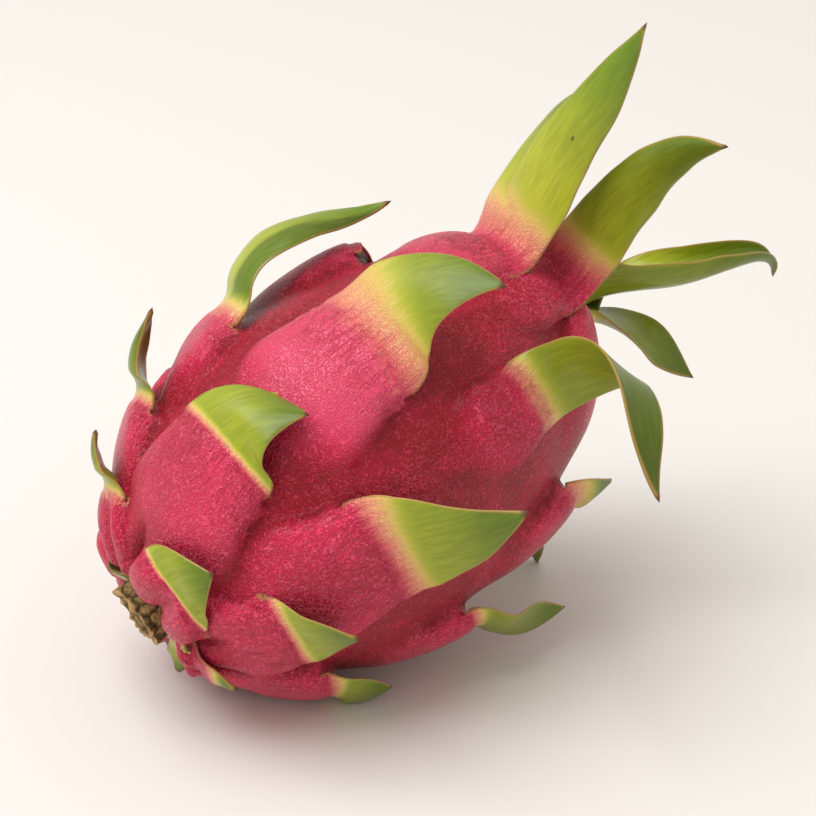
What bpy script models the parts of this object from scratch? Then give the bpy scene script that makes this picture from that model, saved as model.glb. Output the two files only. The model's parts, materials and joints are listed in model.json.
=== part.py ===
"""Dragon fruit (pitaya) lying on its side: one fruit with its scales, and the cut stub of its stem.

Run with  blender --background --python part.py  or from Blender's text editor. Metres, +Z up.

The fruit grows round one axis, from the stem to the crown of long scales. Each scale has a rank.
Going up one rank turns the golden angle round the axis and climbs a set share of the way up the
skin, so its rank alone places a scale. A scale is a swollen base, raised from the skin by a
formula, and a blade that grows out of the top of that base.

Words used below. A turn is measured round the axis, in degrees: 0 is the top line of the lying
fruit, 90 its front (-Y), 180 its underside, 270 its back. A lean is the angle between a blade and
the axis: 0 points to the crown end, 90 straight out, 180 back to the stem. A share of the skin is
0 at the stem end and 1 at the crown end.
"""

import math
import random
from collections import namedtuple

import bmesh
import bpy
import numpy as np
from mathutils import Matrix, Vector

# ---------------------------------------------------------------- driving dimensions, in metres
BODY_LENGTH = 0.113  # stem end to crown end, without the blades
BODY_RADIUS = 0.0392  # the skin in the valleys between the swollen bases
WIDEST_SHARE = 0.48  # of the length, from the stem
STEM_END_POWER = 0.90  # under 1 makes the stem end blunt
CROWN_END_POWER = 1.10  # over 1 makes the crown end slender
AXIS_TILT = 24.0  # degrees that the crown end is lifted
REST_FLAT = 0.0018  # how far the underside is pressed flat
UNDULATION = 0.00035  # the slow unevenness of the skin

FIRST_RANK = -4
LAST_RANK = 32
FIRST_TURN = 5.0  # of rank 0
GOLDEN_ANGLE = 137.5
FIRST_SHARE = 0.11  # of rank 0
SHARE_STEP = 0.03
STEM_SQUEEZE = 0.004  # ranks crowd together at the two ends
CROWN_SQUEEZE = 0.0012
CROWN_SQUEEZE_FROM = 22

BASE_HEIGHT = 0.0050  # of a swollen base over the valleys
BASE_SPREAD = 1.55  # how much wider a base is than the blade that it carries
ROOT_SPREAD = 1.08  # the same at the blade's root
BASE_BLEND = 8.0  # a higher power gives a sharper valley between two bases
BASE_FRONT = 0.0030  # the length over which a base falls away under its blade
SUNK = 0.0060  # how far a blade's root runs back inside its base
SUNK_DEPTH = 0.0014  # how deep it is buried there
ROOT_CROWDING = 1.25  # over 1 sets a blade's rings closer together at its root
GROWN_LENGTH = 0.0080  # over which a blade still follows the shape of its base
PROUD = 0.0003  # how far it stands over its base by the time it leaves it
LOBES = 11  # small round lobes crowd round the stem, parted by creases
FIRST_CREASE = 15.0
CREASE_DEPTH = 0.0026
LOBE_SWELL = 0.0010
STEM_PIT = 0.0040  # how deep the skin round the stub lies behind the lobes
EDGE_THICK = 0.0008
TIP_THICK = 0.0011
ROOT_THICK = 0.0030

STUB_RADIUS = 0.0066
STUB_LENGTH = 0.0112
STUB_SUNK = 0.0087
SOCKET_GAP = 0.0003

BODY_SIDES = 48
BODY_RINGS = 34

# ---------------------------------------------------------------- the blades
# length and half width at the root, in metres; lift, how far the blade stands off the skin where
# it leaves it; curl, veer and twist, the turning of the blade outwards, sideways towards growing
# turns and about itself, each at the rate of its root, middle and tip and in degrees over a whole
# length; cup, the half angle of its channel at the tip; fullness, over 2 for a strap and under it
# for a triangle; shift and climb, how far the scale stands from the turn and share of its rank.
Pose = namedtuple("Pose", "length half lift curl veer twist cup fullness shift climb")

POSES = {
    -4: Pose(0.0095, 0.0050, 25, (-30, -60, -20), (0, 0, 0), (0, 0, 0), 30, 1.8, -60, 0.0),
    -3: Pose(0.0115, 0.0048, 25, (-30, -60, -20), (0, 0, 0), (0, 0, 0), 30, 1.8, 32, 0.0),
    0: Pose(0.0140, 0.0070, 35, (45, -70, -25), (30, 0, 0), (60, 10, 0), 38, 1.5, -30, 0.09),
    1: Pose(0.0115, 0.0060, 7, (0, 0, 0), (10, 10, 0), (0, -10, 0), 20, 1.5, -38, -0.03),
    3: Pose(0.0135, 0.0105, 18, (25, -60, -5), (30, 20, 0), (20, 0, 0), 16, 1.4, -10, -0.035),
    5: Pose(0.0230, 0.0100, 50, (-15, -95, 100), (85, 35, 15), (55, 25, 0), 55, 1.5, -7, 0.065),
    6: Pose(0.0160, 0.0100, 16, (20, 0, 5), (0, 0, 5), (-20, -15, 5), 16, 1.4, -22, -0.022),
    8: Pose(0.0210, 0.0140, 6, (-10, -60, 20), (55, 55, -5), (0, 60, -10), 25, 1.4, -3, -0.005),
    9: Pose(0.0150, 0.0105, 10, (-5, -25, -5), (15, 5, 0), (45, 30, 5), 12, 1.5, -26, -0.09),
    11: Pose(0.0320, 0.0130, 22, (60, -10, -5), (25, -20, -10), (-25, 15, 5), 14, 1.4, 0, -0.027),
    12: Pose(0.0200, 0.0110, 30, (35, 30, 15), (0, -30, -30), (0, 0, 0), 25, 1.6, -8, 0.0),
    13: Pose(0.0485, 0.0095, 58, (-165, -110, 175), (25, 25, -30), (-35, -50, -30), 30, 2.0, -19, -0.03),
    14: Pose(0.0260, 0.0100, 40, (-5, -60, 90), (65, 0, 30), (-40, 105, 10), 15, 1.5, 8, -0.045),
    16: Pose(0.0325, 0.0145, 28, (70, -45, -45), (50, 70, 20), (15, 35, -5), 14, 1.4, -20, -0.04),
    10: Pose(0.0180, 0.0110, 2, (-25, -25, -20), (0, 0, 0), (0, 0, 0), 20, 1.5, -6, 0.0),
    17: Pose(0.0260, 0.0100, 60, (70, 60, 20), (0, 0, 0), (0, 0, 0), 25, 1.8, 0, 0.0),
    18: Pose(0.0160, 0.0110, 2, (-30, -30, -25), (0, 0, 0), (0, 0, 0), 20, 1.5, 0, 0.0),
    19: Pose(0.0515, 0.0085, 30, (240, 175, -20), (-45, 50, 40), (-10, -90, -5), 28, 2.2, -27, -0.01),
    21: Pose(0.0615, 0.0090, 75, (100, -20, 60), (70, 10, -25), (-55, -25, -10), 30, 2.6, -6, 0.04),
    22: Pose(0.0115, 0.0095, 30, (40, -40, 10), (40, 5, 0), (40, -5, 0), 20, 1.5, -20, -0.10),
    24: Pose(0.0620, 0.0080, 94, (70, 30, 75), (-20, 45, 75), (0, -25, 10), 33, 2.6, -30, 0.018),
    26: Pose(0.0460, 0.0090, 70, (10, 50, -30), (20, 55, 30), (-60, -5, -15), 35, 2.4, 15, -0.09),
    27: Pose(0.0330, 0.0080, 85, (135, 35, -30), (-60, -25, 15), (-155, -120, -10), 30, 2.2, 29, 0.025),
    32: Pose(0.0588, 0.0125, 84, (108, -34, 450), (-61, 35, -39), (-193, -83, -9), 125, 2.4, 30, -0.015),
}


def pose_of(rank):
    """The pose of a scale: its own where it has one, else what is usual for its rank."""
    if rank in POSES:
        return POSES[rank]
    spread = random.Random(4000 + rank)
    low = 0.5 - 0.5 * math.cos(math.radians(turn_of_rank(rank)))
    length = np.interp(rank, (-4, 0, 8, 16, 22, 26, 28, 31), (6, 9, 21, 32, 46, 40, 20, 14)) * 1e-3
    length = length * (1.0 - 0.35 * low) * spread.uniform(0.92, 1.08)
    half = np.interp(rank, (-4, 0, 8, 18, 24, 28, 31), (4, 6, 12, 12, 8, 6, 5)) * 1e-3
    curl = (spread.uniform(10, 30), spread.uniform(0, 20), spread.uniform(-10, 40))
    veer = (0.0, spread.uniform(-15, 15), spread.uniform(-15, 15))
    twist = (0.0, spread.uniform(-10, 10), spread.uniform(-10, 10))
    fullness = np.interp(length, (0.030, 0.042), (1.5, 2.4))
    return Pose(length, half, spread.uniform(7, 12), curl, veer, twist, 28, fullness, 0.0, 0.0)


def turn_of(rank):
    return turn_of_rank(rank) + pose_of(rank).shift


def share_of(rank):
    return share_of_rank(rank) + pose_of(rank).climb


# ---------------------------------------------------------------- the rule that places the scales
def turn_of_rank(rank):
    return (FIRST_TURN + GOLDEN_ANGLE * rank) % 360.0


def share_of_rank(rank):
    """Share of the way along the skin, as an angle share, from the stem end to the crown end."""
    share = FIRST_SHARE + SHARE_STEP * rank
    share += STEM_SQUEEZE * min(0, rank) ** 2
    share -= CROWN_SQUEEZE * max(0, rank - CROWN_SQUEEZE_FROM) ** 2
    return share


def angle_of_share(share):
    return math.pi * share


# ---------------------------------------------------------------- the skin without its scales
def skin_height(angle):
    """How far along the axis the skin is, for an angle of 0 at the stem end and pi at the crown."""
    cosine = np.cos(angle)
    stem_part = WIDEST_SHARE * (1.0 - cosine)
    crown_part = WIDEST_SHARE - (1.0 - WIDEST_SHARE) * cosine
    return BODY_LENGTH * np.where(cosine > 0.0, stem_part, crown_part)


def skin_radius(angle):
    sine = np.clip(np.sin(angle), 0.0, 1.0)
    power = np.where(np.cos(angle) > 0.0, STEM_END_POWER, CROWN_END_POWER)
    return BODY_RADIUS * sine**power


ANGLE_TABLE = np.linspace(0.0, math.pi, 1801)
STEPS = np.hypot(np.diff(skin_height(ANGLE_TABLE)), np.diff(skin_radius(ANGLE_TABLE)))
WALK_TABLE = np.concatenate([[0.0], np.cumsum(STEPS)])


def walk_of(angle):
    """Distance walked over the skin from the stem end, in metres."""
    return np.interp(angle, ANGLE_TABLE, WALK_TABLE)


def lean_of_skin(angle):
    """Lean, in degrees, of a walk over the skin towards the crown."""
    step = 1e-4
    along = skin_height(angle + step) - skin_height(angle - step)
    outward = skin_radius(angle + step) - skin_radius(angle - step)
    return np.degrees(np.arctan2(outward, along))


def smooth_step(x):
    x = np.clip(x, 0.0, 1.0)
    return x * x * (3.0 - 2.0 * x)


def lobe_relief(walk, turn):
    """Height of the lobes round the stem over the skin: the feet of the lowest bases."""
    near = smooth_step((walk - 0.008) / 0.006) * (1.0 - smooth_step((walk - 0.019) / 0.010))
    uneven = turn + 0.08 * np.sin(3.0 * turn + 1.0)
    wave = np.abs(np.sin(LOBES / 2.0 * (uneven - math.radians(FIRST_CREASE))))
    return near * (LOBE_SWELL * wave - CREASE_DEPTH * (1.0 - wave) ** 2)


def base_relief(angle, turn, open_rank=None):
    """Height of the swollen bases over the skin, for arrays of angles and of turns in radians.

    The base of open_rank doesn't fall away in front, as if its blade were still part of it."""
    walk = walk_of(angle)
    radius = skin_radius(angle)
    total = np.zeros_like(walk)
    for rank in range(FIRST_RANK, LAST_RANK + 1):
        pose = pose_of(rank)
        centre = math.radians(turn_of(rank))
        root_walk = float(walk_of(angle_of_share(share_of(rank))))
        length = min(3.0 * pose.half, 0.78 * root_walk)
        across = radius * ((turn - centre + math.pi) % (2.0 * math.pi) - math.pi)
        back = (root_walk - walk) / length
        # the edge that carries the blade bows back to the stem at its two corners
        bow = 0.25 * pose.half / length * np.minimum(1.0, np.abs(across) / pose.half) ** 2
        back = back - bow
        spread = ROOT_SPREAD + (BASE_SPREAD - ROOT_SPREAD) * smooth_step(back / 0.4)
        half = pose.half * spread * np.sqrt(np.clip(1.0 - back, 0.0, 1.0)) + 1e-6
        flat = 2.0 + 5.0 * (1.0 - smooth_step(back / 0.5))
        side = 1.0 - np.minimum(1.0, np.abs(across) / half) ** flat
        rise = np.clip(1.0 - back, 0.0, 1.0) ** 1.4 * (1.0 + 0.6 * back)
        front = smooth_step(1.0 + back * length / BASE_FRONT)
        height = BASE_HEIGHT * min(1.0, 0.35 + pose.half / 0.014)
        if rank != open_rank:
            rise = rise * np.where(back < 0.0, front, 1.0)
        total += np.clip(height * side * rise, 0.0, None) ** BASE_BLEND
    return total ** (1.0 / BASE_BLEND) + lobe_relief(walk, turn)


def undulation(angle, turn):
    waves = random.Random(11)
    total = np.zeros_like(angle)
    for count in (1, 2, 2, 3, 3, 4):
        climb = waves.uniform(1.5, 5.0)
        phase = waves.uniform(0.0, 6.28)
        total += np.sin(count * turn + climb * angle + phase)
    return UNDULATION * total / 2.0 * np.sin(angle)


def crown_dish(angle):
    """The blossom end is sunk a little inside the ring of crown blades."""
    return -0.0035 * smooth_step((angle / math.pi - 0.955) / 0.045)


def stem_pit(angle):
    return STEM_PIT * (1.0 - smooth_step((walk_of(angle) - 0.007) / 0.007))


def skin_points(angle, turn, open_rank=None, lift=0.0):
    """Points on the finished skin in the fruit's own frame: x top line, y front, z the axis."""
    out = base_relief(angle, turn, open_rank) + undulation(angle, turn) + lift
    lean = np.radians(lean_of_skin(np.clip(angle, 1e-3, math.pi - 1e-3)))
    radius = skin_radius(angle) + out * np.cos(lean)
    height = skin_height(angle) - out * np.sin(lean) + crown_dish(angle) + stem_pit(angle)
    return np.stack([radius * np.cos(turn), radius * np.sin(turn), height], axis=-1)


# ---------------------------------------------------------------- one blade
def between(stations, share):
    """A smooth curve through values set at even steps from share 0 to share 1."""
    values = np.asarray(stations, float)
    values = np.concatenate([[2 * values[0] - values[1]], values, [2 * values[-1] - values[-2]]])
    place = np.clip(share, 0.0, 1.0) * (len(values) - 3)
    first = np.minimum(place.astype(int), len(values) - 4)
    x = place - first
    a, b, c, d = (values[first + i] for i in range(4))
    curve = 2 * b + (c - a) * x + (2 * a - 5 * b + 4 * c - d) * x**2 + (3 * b - a - 3 * c + d) * x**3
    return curve / 2.0


Spine = namedtuple("Spine", "place ahead across out half bend thick share")
SPINE_STEPS = 160
CROWN_AND_DROOPING = (13, 19, 21, 24, 26, 27, 32)  # the ranks of the long, bent blades


def turned(first, second, angle):
    """The pair of directions turned by an angle, the first towards the second."""
    cosine = math.cos(angle)
    sine = math.sin(angle)
    return cosine * first + sine * second, cosine * second - sine * first


def spine_of(rank, stations):
    """The spine of a blade at distances from its root, which are under 0 inside its base."""
    pose = pose_of(rank)
    angle = angle_of_share(share_of(rank))
    turn = math.radians(turn_of(rank))
    start = float(lean_of_skin(angle))
    axis = np.array([0.0, 0.0, 1.0])
    radial = np.array([math.cos(turn), math.sin(turn), 0.0])
    across = np.array([-math.sin(turn), math.cos(turn), 0.0])
    ahead, out = turned(axis, radial, math.radians(start))
    root = skin_points(np.array([angle]), np.array([turn]))[0]
    fine = np.linspace(0.0, 1.0, SPINE_STEPS + 1)
    middle = (fine[1:] + fine[:-1]) / 2.0
    rates = [np.radians(between(values, middle)) for values in (pose.curl, pose.veer, pose.twist)]
    rates[0] = rates[0] + math.radians(pose.lift) / 0.15 * (middle < 0.15)
    places = [root]
    aheads = [ahead]
    acrosses = [across]
    outs = [out]
    step = pose.length / SPINE_STEPS
    for curl, veer, twist in zip(*(rate / SPINE_STEPS for rate in rates)):
        ahead, out = turned(ahead, out, curl)
        ahead, across = turned(ahead, across, veer)
        across, out = turned(across, out, twist)
        places.append(places[-1] + step * ahead)
        aheads.append(ahead)
        acrosses.append(across)
        outs.append(out)
    # inside the base the spine runs back under the skin
    buried = np.linspace(-1.0, 0.0, 9)[:-1]
    back = buried[:, None] * SUNK * aheads[0] - (0.0024 * buried**2)[:, None] * outs[0]
    places = np.concatenate([root + back, places])
    aheads = np.concatenate([np.tile(aheads[0], (8, 1)), aheads])
    acrosses = np.concatenate([np.tile(acrosses[0], (8, 1)), acrosses])
    outs = np.concatenate([np.tile(outs[0], (8, 1)), outs])
    distance = np.concatenate([buried * SUNK, fine * pose.length])
    share = np.clip(distance / pose.length, 0.0, 1.0)
    half = pose.half * (1.0 - share**pose.fullness)
    half = half * np.clip(1.0 - np.clip(-distance / SUNK, 0.0, 1.0) ** 4, 0.0, 1.0) ** 0.25
    body_bend = max(0.25, math.cos(math.radians(start))) / (float(skin_radius(angle)) + BASE_HEIGHT)
    root_bend = body_bend * (2.4 - 1.2 * smooth_step(share * 4.0))
    tip_bend = math.radians(pose.cup) / np.maximum(half, 0.25 * abs(pose.half) + 1e-4)
    bend = root_bend + (tip_bend - root_bend) * smooth_step(share * 1.6)
    thick = np.interp(share, (0.0, 0.35, 1.0), (ROOT_THICK, 0.6 * ROOT_THICK, TIP_THICK))
    thick = np.minimum(thick, max(EDGE_THICK, 0.45 * pose.half))

    def at(values):
        if values.ndim == 1:
            return np.interp(stations, distance, values)
        return np.stack([np.interp(stations, distance, values[:, i]) for i in range(3)], axis=-1)

    return Spine(*(at(v) for v in (places, aheads, acrosses, outs, half, bend, thick, share)))


def grown_from_base(rank, distance, sideways):
    """Where a blade's outer face would be if it simply carried on over the skin from its base."""
    root_walk = float(walk_of(angle_of_share(share_of(rank))))
    angle = np.interp(root_walk + distance, WALK_TABLE, ANGLE_TABLE)
    turn = math.radians(turn_of(rank)) + sideways / np.maximum(skin_radius(angle), 0.002)
    lift = -SUNK_DEPTH + (SUNK_DEPTH + PROUD) * smooth_step(1.4 * (1.0 + distance / SUNK))
    return skin_points(angle, turn, rank, lift)


def blade_points(rank, along, across, face):
    """Points of a blade. Along is 0 at the root's end and 1 at the tip, across is -1 to 1 from
    margin to margin, and face is 1 on the outer face and -1 on the inner one."""
    pose = pose_of(rank)
    stations = -SUNK + (pose.length + SUNK) * along**ROOT_CROWDING
    spine = spine_of(rank, stations)
    swing = spine.bend * spine.half * across
    sideways = np.sin(swing) / spine.bend
    sag = (np.cos(swing) - 1.0) / spine.bend
    outer = spine.place + spine.across * sideways[:, None] + spine.out * sag[:, None]
    normal = spine.across * np.sin(swing)[:, None] + spine.out * np.cos(swing)[:, None]
    grown = grown_from_base(rank, stations, across * spine.half)
    free = smooth_step(stations / min(GROWN_LENGTH, 0.4 * pose.length))
    outer = grown + (outer - grown) * free[:, None]
    thick = EDGE_THICK + (spine.thick - EDGE_THICK) * (1.0 - across**2)
    thick = thick * np.where((along <= 0.0) | (along >= 1.0), 0.5, np.where(face > 0.0, 0.0, 1.0))
    return outer - normal * thick[:, None]


# ---------------------------------------------------------------- from the fruit's frame to the room
TILT = math.radians(AXIS_TILT)
TOP = np.array([-math.sin(TILT), 0.0, math.cos(TILT)])
FRONT = np.array([0.0, -1.0, 0.0])
AXIS = np.array([math.cos(TILT), 0.0, math.sin(TILT)])


def to_room(points):
    return points @ np.stack([TOP, FRONT, AXIS])


def lowest_of_skin():
    angle, turn = np.meshgrid(np.linspace(0.2, 2.9, 200), np.linspace(2.2, 4.2, 120))
    return float(to_room(skin_points(angle.ravel(), turn.ravel()))[:, 2].min())


FLOOR = lowest_of_skin() + REST_FLAT


def kept_off_floor(points, ring, dip):
    """Lifts each ring of a blade just enough to lie on the floor instead of going through it."""
    rings = np.unique(ring)
    lift = np.array([max(0.0, FLOOR - dip - points[ring == i, 2].min()) for i in rings])
    spread = np.array([0.0, 0.25, 0.5, 0.25, 0.0])
    for _ in range(3):
        lift = np.maximum(lift, np.convolve(np.pad(lift, 2, mode="edge"), spread, mode="valid"))
    points = points.copy()
    points[:, 2] += lift[np.searchsorted(rings, ring)]
    return points


# ---------------------------------------------------------------- Blender helpers
def clear_scene():
    for item in list(bpy.data.objects):
        bpy.data.objects.remove(item, do_unlink=True)


def new_collection(name):
    group = bpy.data.collections.new(name)
    bpy.context.scene.collection.children.link(group)
    return group


def plain_material(name, colour, roughness):
    material = bpy.data.materials.new(name)
    material.use_nodes = True
    shader = material.node_tree.nodes["Principled BSDF"]
    shader.inputs["Base Color"].default_value = (*colour, 1.0)
    shader.inputs["Roughness"].default_value = roughness
    shader.inputs["Metallic"].default_value = 0.0
    return material


def object_from(shape, name, group):
    mesh = bpy.data.meshes.new(name)
    shape.to_mesh(mesh)
    shape.free()
    item = bpy.data.objects.new(name, mesh)
    group.objects.link(item)
    return item


def boolean(item, name, operation, other=None, others=None):
    step = item.modifiers.new(name, "BOOLEAN")
    step.operation = operation
    step.solver = "MANIFOLD"
    if others is not None:
        step.operand_type = "COLLECTION"
        step.collection = others
    else:
        step.object = other


def bake(item):
    """Turns the object's modifiers into its own mesh."""
    bpy.context.view_layer.update()
    graph = bpy.context.evaluated_depsgraph_get()
    mesh = bpy.data.meshes.new_from_object(item.evaluated_get(graph))
    item.modifiers.clear()
    item.data = mesh


def keep_largest_skin(item):
    """Fills hollows that the joining has sealed and drops loose scraps, by keeping one skin."""
    shape = bmesh.new()
    shape.from_mesh(item.data)
    left = set(shape.verts)
    skins = []
    while left:
        skin = [left.pop()]
        for vertex in skin:
            for edge in vertex.link_edges:
                other = edge.other_vert(vertex)
                if other in left:
                    left.remove(other)
                    skin.append(other)
        skins.append(skin)
    skins.sort(key=len)
    print("skins that were dropped:", [len(skin) for skin in skins[:-1]])
    for skin in skins[:-1]:
        bmesh.ops.delete(shape, geom=skin, context="VERTS")
    shape.to_mesh(item.data)
    shape.free()


def remove_all(group):
    for item in list(group.objects):
        bpy.data.objects.remove(item, do_unlink=True)


# ---------------------------------------------------------------- the pieces
def build_body(group):
    shape = bmesh.new()
    bmesh.ops.create_uvsphere(shape, u_segments=BODY_SIDES, v_segments=BODY_RINGS, radius=1.0)
    unit = np.array([v.co[:] for v in shape.verts])
    angle = np.arccos(np.clip(-unit[:, 2], -1.0, 1.0))
    turn = np.arctan2(unit[:, 1], unit[:, 0])
    for vertex, place in zip(shape.verts, to_room(skin_points(angle, turn))):
        vertex.co = place
    return object_from(shape, "fruit", group)


def blade_detail(rank):
    """Sides round a blade and rings along it: the long ones need more."""
    if rank in CROWN_AND_DROOPING:
        return 10, 12
    if rank < 3 or rank > 27:
        return 6, 7
    return 8, 9


def build_blade(rank, group):
    sides, rings = blade_detail(rank)
    shape = bmesh.new()
    bmesh.ops.create_uvsphere(shape, u_segments=sides, v_segments=rings, radius=1.0)
    unit = np.array([v.co[:] for v in shape.verts])
    along = np.arccos(np.clip(-unit[:, 2], -1.0, 1.0)) / math.pi
    half_step = math.pi / sides
    round_turn = np.arctan2(unit[:, 1], unit[:, 0]) + half_step
    across = np.clip(np.cos(round_turn) / math.cos(half_step), -1.0, 1.0)
    face = np.where(np.sin(round_turn) > 0.0, 1.0, -1.0)
    across = -across
    ring = np.round(along * rings).astype(int)
    across[(ring == 0) | (ring == rings)] = 0.0
    points = to_room(blade_points(rank, along, across, face))
    points = kept_off_floor(points, ring, 0.0003)
    shape.verts.ensure_lookup_table()
    for vertex, place in zip(shape.verts, points):
        vertex.co = place
    # both faces are split along the same diagonals, so that a twisted blade can't cross itself
    split = [f for f in shape.faces if len(f.verts) == 4]
    for quad in split:
        order = sorted(quad.verts, key=lambda v: (ring[v.index], across[v.index]))
        first, second = order[0], order[3]
        if abs(across[order[0].index] - across[order[1].index]) < 1e-6:
            first = order[0]
            second = [v for v in order[2:] if not any(v in e.verts for e in first.link_edges)][0]
        bmesh.utils.face_split(quad, first, second)
    if shape.calc_volume(signed=True) < 0.0:
        bmesh.ops.reverse_faces(shape, faces=shape.faces)
    return object_from(shape, "blade", group)


def build_fruit(group, helpers):
    body = build_body(group)
    for rank in range(FIRST_RANK, LAST_RANK + 1):
        build_blade(rank, helpers)
    boolean(body, "scales", "UNION", others=helpers)
    bake(body)
    remove_all(helpers)
    return body


def build_floor_cutter(helpers):
    shape = bmesh.new()
    bmesh.ops.create_cube(shape, size=1.0)
    bmesh.ops.scale(shape, vec=(0.4, 0.4, 0.02), verts=shape.verts)
    bmesh.ops.translate(shape, vec=(0.05, 0.0, FLOOR - 0.01), verts=shape.verts)
    return object_from(shape, "floor_cutter", helpers)


def build_socket_cutter(helpers):
    shape = bmesh.new()
    depth = STUB_SUNK + SOCKET_GAP
    radius = STUB_RADIUS + SOCKET_GAP
    bmesh.ops.create_cone(
        shape, cap_ends=True, segments=24, radius1=radius * 1.1, radius2=radius, depth=depth + 0.01
    )
    turn = Matrix([[*TOP], [*FRONT], [*AXIS]]).transposed().to_4x4()
    centre = Vector(AXIS) * (depth - (depth + 0.01) / 2.0)
    bmesh.ops.transform(shape, matrix=Matrix.Translation(centre) @ turn, verts=shape.verts)
    return object_from(shape, "socket_cutter", helpers)


def build_stub(group):
    """The cut stem: a short woody peg, knobbly, wider at its broken end."""
    shape = bmesh.new()
    bmesh.ops.create_uvsphere(shape, u_segments=20, v_segments=12, radius=1.0)
    grain = random.Random(23)
    phases = [grain.uniform(0.0, 6.28) for _ in range(4)]
    for vertex in shape.verts:
        x, y, z = vertex.co
        turn = math.atan2(y, x)
        ring = math.hypot(x, y)
        blunt = min(1.0, ring * 1.9)
        flare = 1.0 + 0.10 * (-z)
        ridges = 1.0 + 0.07 * math.sin(3 * turn + phases[0]) * (z < 0.2)
        ridges += 0.05 * math.sin(7 * turn + phases[1]) * (z < 0.2)
        radius = STUB_RADIUS * 0.93 * blunt * flare * (ridges if z < 0.2 else 1.0)
        height = math.copysign(min(1.0, abs(z) * 1.15), z) * STUB_LENGTH / 2.0
        if z < -0.8:
            height += 0.0006 * math.sin(2 * turn + phases[2]) * ring
        centre = STUB_SUNK - STUB_LENGTH / 2.0
        place = np.array([[radius * math.cos(turn), radius * math.sin(turn), centre + height]])
        vertex.co = to_room(place)[0]
    return object_from(shape, "stem_stub", group)


def flat_shaded(item, smooth):
    for face in item.data.polygons:
        face.use_smooth = smooth


def main():
    clear_scene()
    group = new_collection("dragon_fruit")
    helpers = new_collection("cutters")
    fruit = build_fruit(group, helpers)
    floor_cutter = build_floor_cutter(helpers)
    socket_cutter = build_socket_cutter(helpers)
    for cutter in (floor_cutter, socket_cutter):
        cutter.hide_render = True
        cutter.display_type = "WIRE"
    boolean(fruit, "flat_underside", "DIFFERENCE", other=floor_cutter)
    boolean(fruit, "stem_socket", "DIFFERENCE", other=socket_cutter)
    bake(fruit)
    keep_largest_skin(fruit)
    remove_all(helpers)
    stub = build_stub(group)
    fruit.data.materials.clear()
    fruit.data.materials.append(plain_material("rind", (0.62, 0.06, 0.13), 0.45))
    stub.data.materials.append(plain_material("dry_stem", (0.25, 0.16, 0.07), 0.9))
    flat_shaded(fruit, True)
    flat_shaded(stub, True)
    # the origin is under the middle of the bounding box, on the floor
    corners = np.array([v.co[:] for item in (fruit, stub) for v in item.data.vertices])
    middle = (corners.min(axis=0) + corners.max(axis=0)) / 2.0
    placing = bpy.data.objects.new("placing", None)
    group.objects.link(placing)
    placing.location = (-middle[0], -middle[1], -FLOOR)
    for item in (fruit, stub):
        item.parent = placing
    print("faces", len(fruit.data.polygons), "shift", [round(v, 5) for v in placing.location])


main()
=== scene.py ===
# %% [markdown]
# # A dragon fruit, from stem stub to crown
# We build the looks of a ripe dragon fruit that lies on a table. The solid in model.glb already has
# the form: a body, 37 scales and a stub of stem. Here the same rules are worked out again with many
# more faces, so that the skin curves softly, and then everything gets its colours and its fine
# texture. Lengths are in metres unless a name says otherwise.

# %% Loading the frame
import json
import math
import random
from collections import namedtuple

import bmesh
import bpy
import numpy as np
from mathutils import Matrix, Vector, kdtree, noise

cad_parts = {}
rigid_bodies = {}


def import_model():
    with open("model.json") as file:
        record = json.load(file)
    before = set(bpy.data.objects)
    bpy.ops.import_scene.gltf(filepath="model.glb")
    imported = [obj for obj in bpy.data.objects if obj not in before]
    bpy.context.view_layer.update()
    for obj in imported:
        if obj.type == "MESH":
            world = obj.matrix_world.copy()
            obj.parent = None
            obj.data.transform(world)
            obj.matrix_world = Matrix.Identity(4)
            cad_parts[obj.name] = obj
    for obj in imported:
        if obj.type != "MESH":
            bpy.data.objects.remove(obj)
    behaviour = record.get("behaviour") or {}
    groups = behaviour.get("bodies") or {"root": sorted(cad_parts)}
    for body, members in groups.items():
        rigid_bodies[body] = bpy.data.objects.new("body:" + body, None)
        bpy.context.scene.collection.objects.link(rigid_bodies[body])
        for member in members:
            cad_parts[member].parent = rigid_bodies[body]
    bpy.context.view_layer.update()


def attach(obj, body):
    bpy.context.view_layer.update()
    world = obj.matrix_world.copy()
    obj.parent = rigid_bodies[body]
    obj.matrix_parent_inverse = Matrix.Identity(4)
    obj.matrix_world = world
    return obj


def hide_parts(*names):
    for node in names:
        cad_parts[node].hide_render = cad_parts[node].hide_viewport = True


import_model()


def in_mm(corners):
    return [[round(v * 1000, 1) for v in corner] for corner in corners]


# %% [markdown]
# ## How a scale finds its place
# On a cactus fruit each scale grows about 137.5 degrees round from the one before it, and a little
# further up. That single angle spreads the scales evenly, and it is why the rows of scales on the
# real fruit look like spirals. A scale's rank is therefore all that we need to place it. The ranks
# crowd together at both ends, where the skin closes in.

# %% Sizes of the fruit in metres, turns in degrees
BODY_LENGTH = 0.113
BODY_RADIUS = 0.0392
WIDEST_SHARE = 0.48
STEM_END_POWER = 0.90
CROWN_END_POWER = 1.10
AXIS_TILT = 24.0
REST_FLAT = 0.0018
UNDULATION = 0.00035

FIRST_RANK = -4
LAST_RANK = 32
FIRST_TURN = 5.0
GOLDEN_ANGLE = 137.5
FIRST_SHARE = 0.11
SHARE_STEP = 0.03
STEM_SQUEEZE = 0.004
CROWN_SQUEEZE = 0.0012
CROWN_SQUEEZE_FROM = 22

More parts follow.
